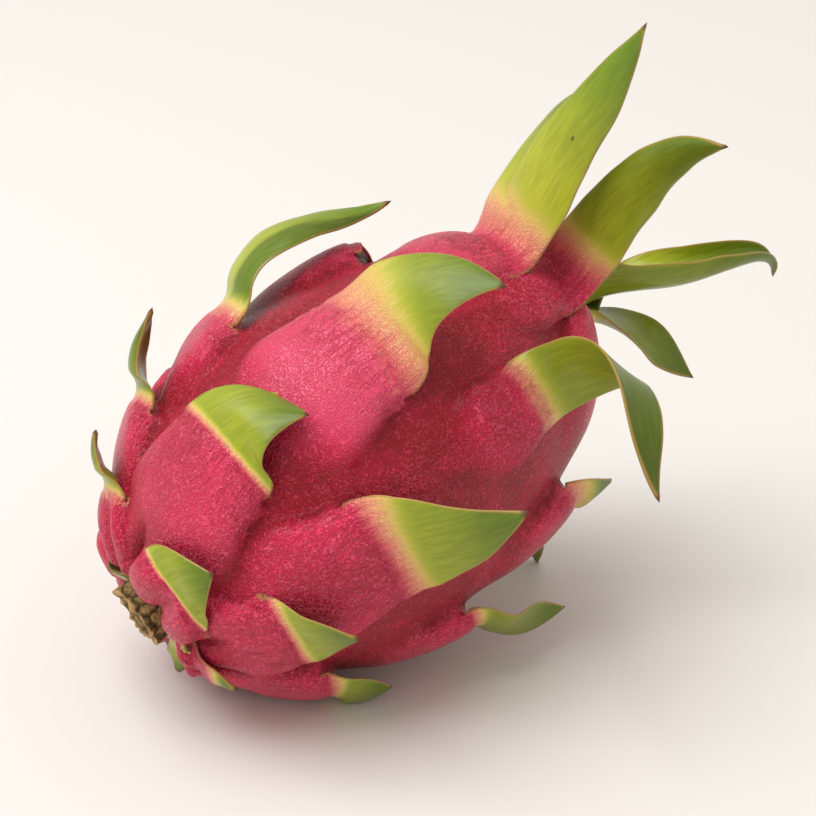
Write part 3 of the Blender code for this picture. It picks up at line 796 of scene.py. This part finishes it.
# how near a seam the points relax, and how often
RELAXING = ((0.0008, 4), (0.0018, 5), (0.0030, 4))


def tree_of(places):
    tree = kdtree.KDTree(len(places))
    for i, place in enumerate(places):
        tree.insert(place, i)
    tree.balance()
    return tree


origins = tree_of(all_points)
source = np.array([origins.find(v.co)[1] for v in fruit.data.vertices])
memory = {name: all_memory[name][source] for name in MEMORIES}
from_blade = source >= first_blade_point


def lent_by_blades(item):
    """Skin on a blade's root takes that blade's memories, so that its colours show no seam."""
    growth, edge, inside = (all_memory[name] for name in ("growth", "edge", "inside"))
    near_root = (np.abs(growth + 0.002) < 0.003) | ((growth < 0.005) & (edge > 0.0015))
    near_root[:first_blade_point] = False
    lenders = np.flatnonzero(near_root & (inside < 0.5))
    tree = tree_of(all_points[lenders])
    lent = []
    for vertex in item.data.vertices:
        if from_blade[vertex.index] or memory["inside"][vertex.index] > 0.25:
            continue
        _, i, distance = tree.find(vertex.co)
        if distance < LENDING_REACH:
            lent.append((vertex.index, lenders[i]))
    return np.array(lent)


lent = lent_by_blades(fruit)
for name in MEMORIES:
    if name not in ("valley", "inside", "blade", "edge"):
        memory[name][lent[:, 0]] = all_memory[name][lent[:, 1]]
print("points that blades lend their memories to:", len(lent))


def smoothed(item):
    shape = bmesh.new()
    shape.from_mesh(item.data)
    shape.verts.ensure_lookup_table()
    outer = memory["inside"] < 0.25
    calm = outer & (memory["edge"] > 0.0007)
    seam = []
    for v in shape.verts:
        next_to_blade = any(from_blade[e.other_vert(v).index] for e in v.link_edges)
        if calm[v.index] and not from_blade[v.index] and next_to_blade:
            seam.append(v.co.copy())
    tree = tree_of(seam)
    away = np.array([tree.find(v.co)[2] if outer[v.index] else 1.0 for v in shape.verts])
    axes = {"use_axis_x": True, "use_axis_y": True, "use_axis_z": True}
    for reach, times in RELAXING:
        near = [v for v in shape.verts if away[v.index] < reach and calm[v.index]]
        for _ in range(times):
            bmesh.ops.smooth_vert(shape, verts=near, factor=0.5, **axes)
    print("points near a seam:", len(seam), "relaxed:", len(near))
    shape.to_mesh(item.data)
    shape.free()


smoothed(fruit)

# %% [markdown]
# ## The stub of stem
# The fruit was cut from its cactus with a short piece of woody stem. It has dried to cork: the bark
# has shrunk and split into small plates, and the cut left a ragged, paler rim. We bend a sphere
# into a squat cylinder and let a cell pattern carve the splits. Each point remembers how deep it
# lies in a split and how close it is to the cut rim, for the colours.

# %% A corky stub
STUB_RADIUS = 0.0066
STUB_LENGTH = 0.0112
STUB_SUNK = 0.0087
STUB_ASIDE = (0.0020, -0.0004)
PLATE_SIZE = 0.0030
PLATE_WARP = 0.0006
SPLIT_DEPTH = 0.0006
LUMP_SIZE = 0.0045
RAGGED_RIM = 0.0012
HOLLOW_CUT = 0.0012
# the last part of the length, where the cut is
CUT_FROM, CUT_PART = 0.85, 0.15
BARK_SEED = 12


def stub_shape():
    # without a seed the warp of the plates would differ from run to run
    noise.seed_set(BARK_SEED)
    shape = bmesh.new()
    sides, rings = ((160, 110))
    bmesh.ops.create_uvsphere(shape, u_segments=sides, v_segments=rings, radius=1.0)
    split = []
    rim = []
    for vertex in shape.verts:
        x, y, z = vertex.co
        turn = math.atan2(y, x)
        cosine, sine = math.cos(turn), math.sin(turn)
        upright = max(-1.0, min(1.0, z * 1.15))
        flat = min(1.0, math.hypot(x, y) * 1.9)
        round_place = Vector((cosine, sine, 0.0)) * STUB_RADIUS
        round_place.z = upright * STUB_LENGTH / 2.0
        uneven = noise.fractal(round_place / LUMP_SIZE, 0.7, 2.0, 4)
        bent = Vector((round_place.x, round_place.y, round_place.z * 0.7)) * flat
        warped = bent + PLATE_WARP * noise.noise_vector(round_place / 0.002)
        near = noise.voronoi(warped / PLATE_SIZE)[0]
        depth = 1.0 - float(smooth_step((near[1] - near[0]) / 0.22))
        out = STUB_RADIUS * (1.07 + 0.05 * uneven - 0.04 * z) - SPLIT_DEPTH * depth
        cut = max(0.0, -upright - CUT_FROM) / CUT_PART
        ragged = RAGGED_RIM * noise.fractal(Vector((cosine, sine, 3.0)) * 2.2, 0.8, 2.0, 4)
        height = STUB_SUNK - STUB_LENGTH / 2.0 + round_place.z
        height += cut * (ragged * flat**2 + HOLLOW_CUT * (1.0 - flat) + 0.0003 * depth)
        radius = out * flat
        place = (radius * cosine + STUB_ASIDE[0], radius * sine + STUB_ASIDE[1], height)
        vertex.co = to_room(np.array(place))
        split.append(depth)
        rim.append(cut * float(smooth_step((flat - 0.75) / 0.2)) if flat < 1.0 else cut)
    return shape, {"split": split, "rim": rim}


shape, stub_memory = stub_shape()
stub = object_from(shape, "stem_stub_looks")
print("stub points:", len(stub.data.vertices))

# %% [markdown]
# ## Placing fruit and stub
# Both pieces were worked out with the stem end as the origin. One shift brings them to where the
# solid from model.glb lies: the flat spot on the table's plane and the middle of the fruit over the
# origin. The finer pieces then take the place of the plain ones.

# %% Placing both in the frame
PLACING = Vector((-0.07671, 0.01261, -FLOOR))
for item in (fruit, stub):
    item.data.transform(Matrix.Translation(PLACING))
    item.data.shade_smooth()
    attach(item, "root")
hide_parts("fruit")
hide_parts("stem_stub")
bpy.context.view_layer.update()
triangles = sum(len(face.vertices) - 2 for item in (fruit, stub) for face in item.data.polygons)
print("triangles in the looks:", triangles)

# %% [markdown]
# ## Writing the memories into the mesh
# Each memory becomes one number per point, stored in the mesh under its own name, for the finishes.

# %% Memories as attributes that the finishes can read
for item, kept in ((fruit, memory), (stub, stub_memory)):
    for name, values in kept.items():
        layer = item.data.attributes.new(name, "FLOAT", "POINT")
        layer.data.foreach_set("value", np.array(values, dtype=np.float32))
    print(item.name, "remembers", ", ".join(kept))

# %% [markdown]
# ## Small helpers for finishes
# A finish is a tree of nodes, and most of its branches are the same few steps: read a memory, add
# or multiply, let a value rise softly between two limits, mix two colours. One short function for
# each keeps the trees below readable.

# %% Helpers for finishes
def feed(tree, node, inputs):
    """Gives each input, by its name or number, a value or another node's output."""
    for key, value in inputs.items():
        if isinstance(value, bpy.types.NodeSocket):
            tree.links.new(value, node.inputs[key])
        else:
            node.inputs[key].default_value = value


def add(tree, kind, inputs=None, **settings):
    node = tree.nodes.new("ShaderNode" + kind)
    for key, value in settings.items():
        setattr(node, key, value)
    feed(tree, node, inputs or {})
    return node


def maths(tree, operation, *values):
    return add(tree, "Math", dict(enumerate(values)), operation=operation).outputs[0]


def times(tree, first, second):
    return maths(tree, "MULTIPLY", first, second)


def rising(tree, value, low, high, first=0.0, last=1.0):
    spans = {0: value, 1: low, 2: high, 3: first, 4: last}
    return add(tree, "MapRange", spans, interpolation_type="SMOOTHSTEP").outputs[0]


def remembered(tree, name):
    return add(tree, "Attribute", attribute_name=name).outputs["Fac"]


def in_room(tree):
    return add(tree, "TexCoord").outputs["Object"]


def mixed(tree, amount, first, second, mode="MIX"):
    pair = [(*v, 1.0) if isinstance(v, tuple) else v for v in (first, second)]
    inputs = {0: amount, 6: pair[0], 7: pair[1]}
    return add(tree, "Mix", inputs, data_type="RGBA", blend_type=mode).outputs[2]


def darkened(tree, colour, factor):
    grey = add(tree, "CombineColor", {0: factor, 1: factor, 2: factor}).outputs[0]
    return mixed(tree, 1.0, colour, grey, "MULTIPLY")


def ramp(tree, value, stops):
    node = add(tree, "ValToRGB", {0: value})
    line = node.color_ramp.elements
    line[0].position = stops[0][0]
    line[1].position = stops[-1][0]
    for place, _ in stops[1:-1]:
        line.new(place)
    for element, (_, colour) in zip(line, stops):
        element.color = (*colour, 1.0)
    return node.outputs[0]


def cloud(tree, place, scale, detail=2.0, roughness=0.5):
    inputs = {"Vector": place, "Scale": scale, "Detail": detail, "Roughness": roughness}
    return add(tree, "TexNoise", inputs).outputs[0]


def give_out(tree, **results):
    """Ends a group of nodes that other trees can use, with these results."""
    for title, socket in results.items():
        kind = "NodeSocketColor" if socket.type == "RGBA" else "NodeSocketFloat"
        tree.interface.new_socket(title, in_out="OUTPUT", socket_type=kind)
    feed(tree, tree.nodes.new("NodeGroupOutput"), results)


def use_group(tree, group):
    node = tree.nodes.new("ShaderNodeGroup")
    node.node_tree = group
    return node.outputs


def finish_for(name):
    material = bpy.data.materials.new(name)
    material.use_nodes = True
    return material, material.node_tree, material.node_tree.nodes["Principled BSDF"]


# %% [markdown]
# ## The grain of the skin
# Close up, the rind is leathery: fine raised threads with dimples between them, about a millimetre
# apart. Where a scale bends away from the body the skin puckers into long wrinkles, and on the
# blades it runs in faint streaks from root to tip. Both stretch along the growth, so they are
# worked out from the memories instead of from the place in the room.

# %% Grain of the skin, as a shared group
THREADS_PER_METRE = 1500.0
PATCHES_PER_METRE = 700.0
CLOUDS_PER_METRE = 90.0
# across and along the blade per metre, and how far the pattern moves on from scale to scale
STREAK_LINES = {"across": 1300.0, "growth": 150.0, "number": 7.3}
WRINKLE_LINES = {"across": 850.0, "growth": 120.0, "number": 3.1}


def along_growth(tree, lines):
    parts = [times(tree, remembered(tree, name), lines[name]) for name in lines]
    return add(tree, "CombineXYZ", dict(enumerate(parts))).outputs[0]


def off_middle(tree, value):
    return maths(tree, "ABSOLUTE", maths(tree, "SUBTRACT", value, 0.5))


def skin_grain():
    tree = bpy.data.node_groups.new("skin_grain", "ShaderNodeTree")
    place = in_room(tree)
    threads = cloud(tree, place, THREADS_PER_METRE, 1.0)
    pebbles = rising(tree, off_middle(tree, threads), 0.11, 0.0)
    patches = cloud(tree, place, PATCHES_PER_METRE, 2.0, 0.6)
    specks = times(tree, pebbles, rising(tree, patches, 0.38, 0.66, 0.25, 1.0))
    streaks = cloud(tree, along_growth(tree, STREAK_LINES), 1.0, 3.0, 0.55)
    folds = cloud(tree, along_growth(tree, WRINKLE_LINES), 1.0)
    wrinkles = rising(tree, off_middle(tree, folds), 0.0, 0.055)
    clouds = cloud(tree, place, CLOUDS_PER_METRE, 3.0)
    give_out(
        tree, Pebbles=pebbles, Specks=specks, Streaks=streaks, Wrinkles=wrinkles, Clouds=clouds
    )
    return tree


SKIN_GRAIN = skin_grain()
print("the grain gives", ", ".join(item.name for item in SKIN_GRAIN.interface.items_tree))

# %% [markdown]
# ## From pink to green
# The rind owes its magenta to betalains. Down in the furrows it carries painted shade, a darker
# crimson, and on the cushions a pale bloom covers it, partly the rind's own bloom and partly a painted
# highlight. A scale keeps its chlorophyll, so the pink fades through salmon and cream to yellow
# green, and deepens to leaf green towards the tip. Its margin and its tip dry out first and turn tan
# and brown.

# %% Colours of rind and scales
CRIMSON = (0.40, 0.002, 0.017)
ROSE = (0.78, 0.007, 0.074)
PALE_ROSE = (0.86, 0.090, 0.190)
SPECK = (0.92, 0.18, 0.33)
TURNING_STOPS = (
    (0.0, (0.72, 0.055, 0.130)),
    (0.20, (0.80, 0.190, 0.160)),
    (0.40, (0.82, 0.370, 0.190)),
    (0.58, (0.70, 0.500, 0.130)),
    (0.80, (0.48, 0.490, 0.045)),
    (1.0, (0.38, 0.440, 0.025)),
)
DARK_BLADE = (0.120, 0.185, 0.006)
LIGHT_BLADE = (0.47, 0.51, 0.030)
DARK_END = (0.080, 0.110, 0.006)
LIGHT_END = (0.15, 0.25, 0.012)
TAN_RIM = (0.42, 0.24, 0.07)
DRY_BROWN = (0.13, 0.060, 0.028)
SPOT_GROWTH = 0.0318
SPOT_ACROSS = 0.001


def spot_mask(tree):
    """The one small dead spot on the tallest scale."""
    ahead = maths(tree, "SUBTRACT", remembered(tree, "growth"), SPOT_GROWTH)
    aside = maths(tree, "SUBTRACT", remembered(tree, "across"), SPOT_ACROSS)
    gap = add(tree, "CombineXYZ", {0: ahead, 1: times(tree, aside, 1.6)}).outputs[0]
    away = add(tree, "VectorMath", {0: gap}, operation="LENGTH").outputs["Value"]
    ragged = cloud(tree, in_room(tree), THREADS_PER_METRE)
    away = maths(tree, "MULTIPLY_ADD", ragged, 0.0012, away)
    tallest = maths(tree, "COMPARE", remembered(tree, "number"), float(TALLEST_RANK), 0.05)
    return times(tree, tallest, rising(tree, away, 0.0014, 0.0009))


def skin_colours():
    tree = bpy.data.node_groups.new("skin_colours", "ShaderNodeTree")
    grain = use_group(tree, SKIN_GRAIN)
    valley = remembered(tree, "valley")
    shade = remembered(tree, "shade")

    # the rind's pink, with painted shade that makes it darker crimson down in the valleys, and dotted
    # with pale specks that grow fewer there
    clouds = rising(tree, grain["Clouds"], 0.30, 0.70, 0.35, 1.0)
    tone = maths(tree, "MULTIPLY_ADD", valley, -0.60, clouds)
    rind = mixed(tree, maths(tree, "MAXIMUM", tone, 0.0), CRIMSON, ROSE)
    rind = darkened(tree, rind, maths(tree, "MULTIPLY_ADD", grain["Pebbles"], 0.50, 0.66))
    dots = times(tree, grain["Specks"], rising(tree, valley, 0.1, 0.8, 0.44, 0.18))
    rind = mixed(tree, dots, rind, SPECK)
    # painted highlight, partly the rind's own bloom: the cushions are mixed towards pale rose
    bloom_and_highlight = times(tree, remembered(tree, "bloom_and_highlight"), 0.60)
    rind = mixed(tree, bloom_and_highlight, rind, PALE_ROSE)
    # painted shade: the grooves of the wrinkles where a blade bends away are drawn darker crimson
    smooth = maths(tree, "SUBTRACT", 1.0, grain["Wrinkles"])
    crease = times(tree, remembered(tree, "bend"), smooth)
    rind = mixed(tree, times(tree, crease, 0.30), rind, CRIMSON)

    # green of the blades, lighter at first and deeper towards the tip
    middle = mixed(tree, shade, DARK_BLADE, LIGHT_BLADE)
    last = mixed(tree, shade, DARK_END, LIGHT_END)
    green = mixed(tree, rising(tree, remembered(tree, "share"), 0.25, 0.9), middle, last)
    green = darkened(tree, green, rising(tree, grain["Streaks"], 0.30, 0.70, 0.86, 1.08))

    # the turn from pink to green runs out in streaks
    ripe = maths(tree, "SUBTRACT", remembered(tree, "ripe"), 0.20)
    turn = rising(tree, maths(tree, "MULTIPLY_ADD", grain["Streaks"], 0.4, ripe), -0.25, 1.35)
    coat = mixed(tree, rising(tree, turn, 0.0, 0.25), rind, ramp(tree, turn, TURNING_STOPS))
    coat = mixed(tree, rising(tree, turn, 0.55, 1.0), coat, green)

    # margins and tips dry out, those of the small sepals at the stem the most
    rim = rising(tree, remembered(tree, "rim"), 1.6, 0.4)
    is_scale = rising(tree, remembered(tree, "number"), -1.5, -0.5)
    rim_colour = mixed(tree, is_scale, DRY_BROWN, TAN_RIM)
    coat = mixed(tree, times(tree, rim, 0.7), coat, rim_colour)
    coat = mixed(tree, times(tree, spot_mask(tree), 0.85), coat, DRY_BROWN)
    dry = rising(tree, remembered(tree, "tip"), 1.0, 0.35)
    coat = mixed(tree, dry, coat, DRY_BROWN)

    # threads and creases shape the pink skin, and streaks the blades
    pink = maths(tree, "SUBTRACT", 1.0, rising(tree, turn, 0.2, 0.8))
    height = times(tree, grain["Pebbles"], pink)
    height = maths(tree, "MULTIPLY_ADD", times(tree, crease, pink), -1.1, height)
    on_blade = times(tree, grain["Streaks"], remembered(tree, "blade"))
    height = maths(tree, "MULTIPLY_ADD", on_blade, 0.3, height)
    rough = maths(tree, "MULTIPLY_ADD", grain["Clouds"], 0.12, 0.24)
    rough = maths(tree, "MAXIMUM", rough, times(tree, dry, 0.8))
    give_out(tree, Colour=coat, Roughness=rough, Height=height)
    return tree


SKIN_COLOURS = skin_colours()
print("the skin's colours take", len(SKIN_COLOURS.nodes), "nodes")

# %% [markdown]
# ## Finishes of rind and dry stem
# The rind is smooth and a little waxy: a clear highlight broken up by the grain, and a trace of
# light that passes through the outer skin. Cork is the opposite: dull, rough and patchy, with painted
# shade that darkens its splits, and pale on the ragged rim of the cut.

# %% Finishes of both pieces
BARK_STOPS = (
    (0.32, (0.075, 0.040, 0.014)),
    (0.44, (0.190, 0.110, 0.036)),
    (0.54, (0.340, 0.225, 0.085)),
    (0.66, (0.190, 0.155, 0.038)),
)
PALE_FIBRE = (0.42, 0.30, 0.14)
SPLIT_SHADE = (0.030, 0.017, 0.008)
CUT_RIM = (0.62, 0.40, 0.19)
BUMP = {"Strength": 0.8, "Distance": 0.0003}


def rind_finish():
    material, tree, shader = finish_for("rind")
    skin = use_group(tree, SKIN_COLOURS)
    feed(tree, shader, {
        "Base Color": skin["Colour"],
        "Roughness": skin["Roughness"],
        "Normal": add(tree, "Bump", {**BUMP, "Height": skin["Height"]}).outputs[0],
        "Subsurface Weight": 0.05,
        "Subsurface Radius": (1.0, 0.30, 0.20),
        "Subsurface Scale": 0.0012,
        "Specular IOR Level": 0.36,
        "Sheen Weight": 0.02,
        "Sheen Roughness": 0.5,
    })
    return material


def cork_finish():
    material, tree, shader = finish_for("dry_stem")
    place = in_room(tree)
    patches = cloud(tree, place, 420.0, 4.0, 0.65)
    fibres = cloud(tree, place, 1900.0, 3.0, 0.6)
    bark = ramp(tree, patches, BARK_STOPS)
    bark = mixed(tree, rising(tree, fibres, 0.52, 0.68, 0.0, 0.75), bark, PALE_FIBRE)
    # painted shade: the deeper a point lies in a split, the darker it is drawn
    bark = mixed(tree, times(tree, remembered(tree, "split"), 0.85), bark, SPLIT_SHADE)
    bark = mixed(tree, times(tree, remembered(tree, "rim"), 0.75), bark, CUT_RIM)
    height = maths(tree, "MULTIPLY_ADD", patches, 1.5, fibres)
    feed(tree, shader, {
        "Base Color": bark,
        "Roughness": 0.85,
        "Normal": add(tree, "Bump", {**BUMP, "Height": height}).outputs[0],
        "Specular IOR Level": 0.25,
    })
    return material


for item, material in ((fruit, rind_finish()), (stub, cork_finish())):
    item.data.materials.clear()
    item.data.materials.append(material)
    print(item.name, "has the finish", material.name)

# %% [markdown]
# ## Table, light and camera
# A plain pale table, a large soft lamp from above on the left and a warm glow from all sides: that
# is how fruit is usually shown, with one soft highlight and a gentle shadow to the right. The
# camera looks down a little from the front, on the side of the stem stub.

# %% Table, light and camera
TABLE_COLOUR = (0.735, 0.718, 0.695, 1.0)
CAMERA_TURN = math.radians(-33.0)
CAMERA_RISE = math.radians(27.0)
CAMERA_DISTANCE = 0.44
# the camera aims a little to the right of the fruit's middle and above it
AIM_RIGHT, AIM_UP = 0.01078, 0.01057
LAMP_DISTANCE = 1.7
GLOW_COLOUR = (1.0, 0.95, 0.88, 1.0)

shape = bmesh.new()
bmesh.ops.create_grid(shape, x_segments=1, y_segments=1, size=3.0)
floor = object_from(shape, "table_top")
material, tree, shader = finish_for("pale_table")
feed(tree, shader, {"Base Color": TABLE_COLOUR, "Roughness": 0.6})
floor.data.materials.append(material)

back = Vector((
    math.sin(CAMERA_TURN) * math.cos(CAMERA_RISE),
    -math.cos(CAMERA_TURN) * math.cos(CAMERA_RISE),
    math.sin(CAMERA_RISE),
))
right = Vector((math.cos(CAMERA_TURN), math.sin(CAMERA_TURN), 0.0))
up = back.cross(right)
target = Vector(AXIS) * (0.5 * BODY_LENGTH) + PLACING + right * AIM_RIGHT + up * AIM_UP
camera_data = bpy.data.cameras.new("camera")
camera_data.lens = 90.0
camera_data.sensor_width = 36.0
camera = bpy.data.objects.new("camera", camera_data)
facing = Matrix((right, up, back)).transposed().to_4x4()
facing.translation = target + back * CAMERA_DISTANCE
camera.matrix_world = facing
bpy.context.scene.collection.objects.link(camera)
bpy.context.scene.camera = camera

lamp_data = bpy.data.lights.new("window", "AREA")
lamp_data.energy = 26.5
lamp_data.size = 1.4
lamp = bpy.data.objects.new("window", lamp_data)
towards = (right * -0.42 + up * 0.82 + back * 0.52).normalized()
lamp.location = target + towards * LAMP_DISTANCE
lamp.rotation_euler = towards.to_track_quat("Z", "Y").to_euler()
bpy.context.scene.collection.objects.link(lamp)

world = bpy.data.worlds.new("room")
bpy.context.scene.world = world
world.use_nodes = True
glow = world.node_tree.nodes["Background"]
feed(world.node_tree, glow, {"Color": GLOW_COLOUR, "Strength": 0.72})
bpy.context.scene.view_settings.view_transform = "Standard"
print("camera at", in_mm([camera.location]), "lamp at", in_mm([lamp.location]), "in mm")
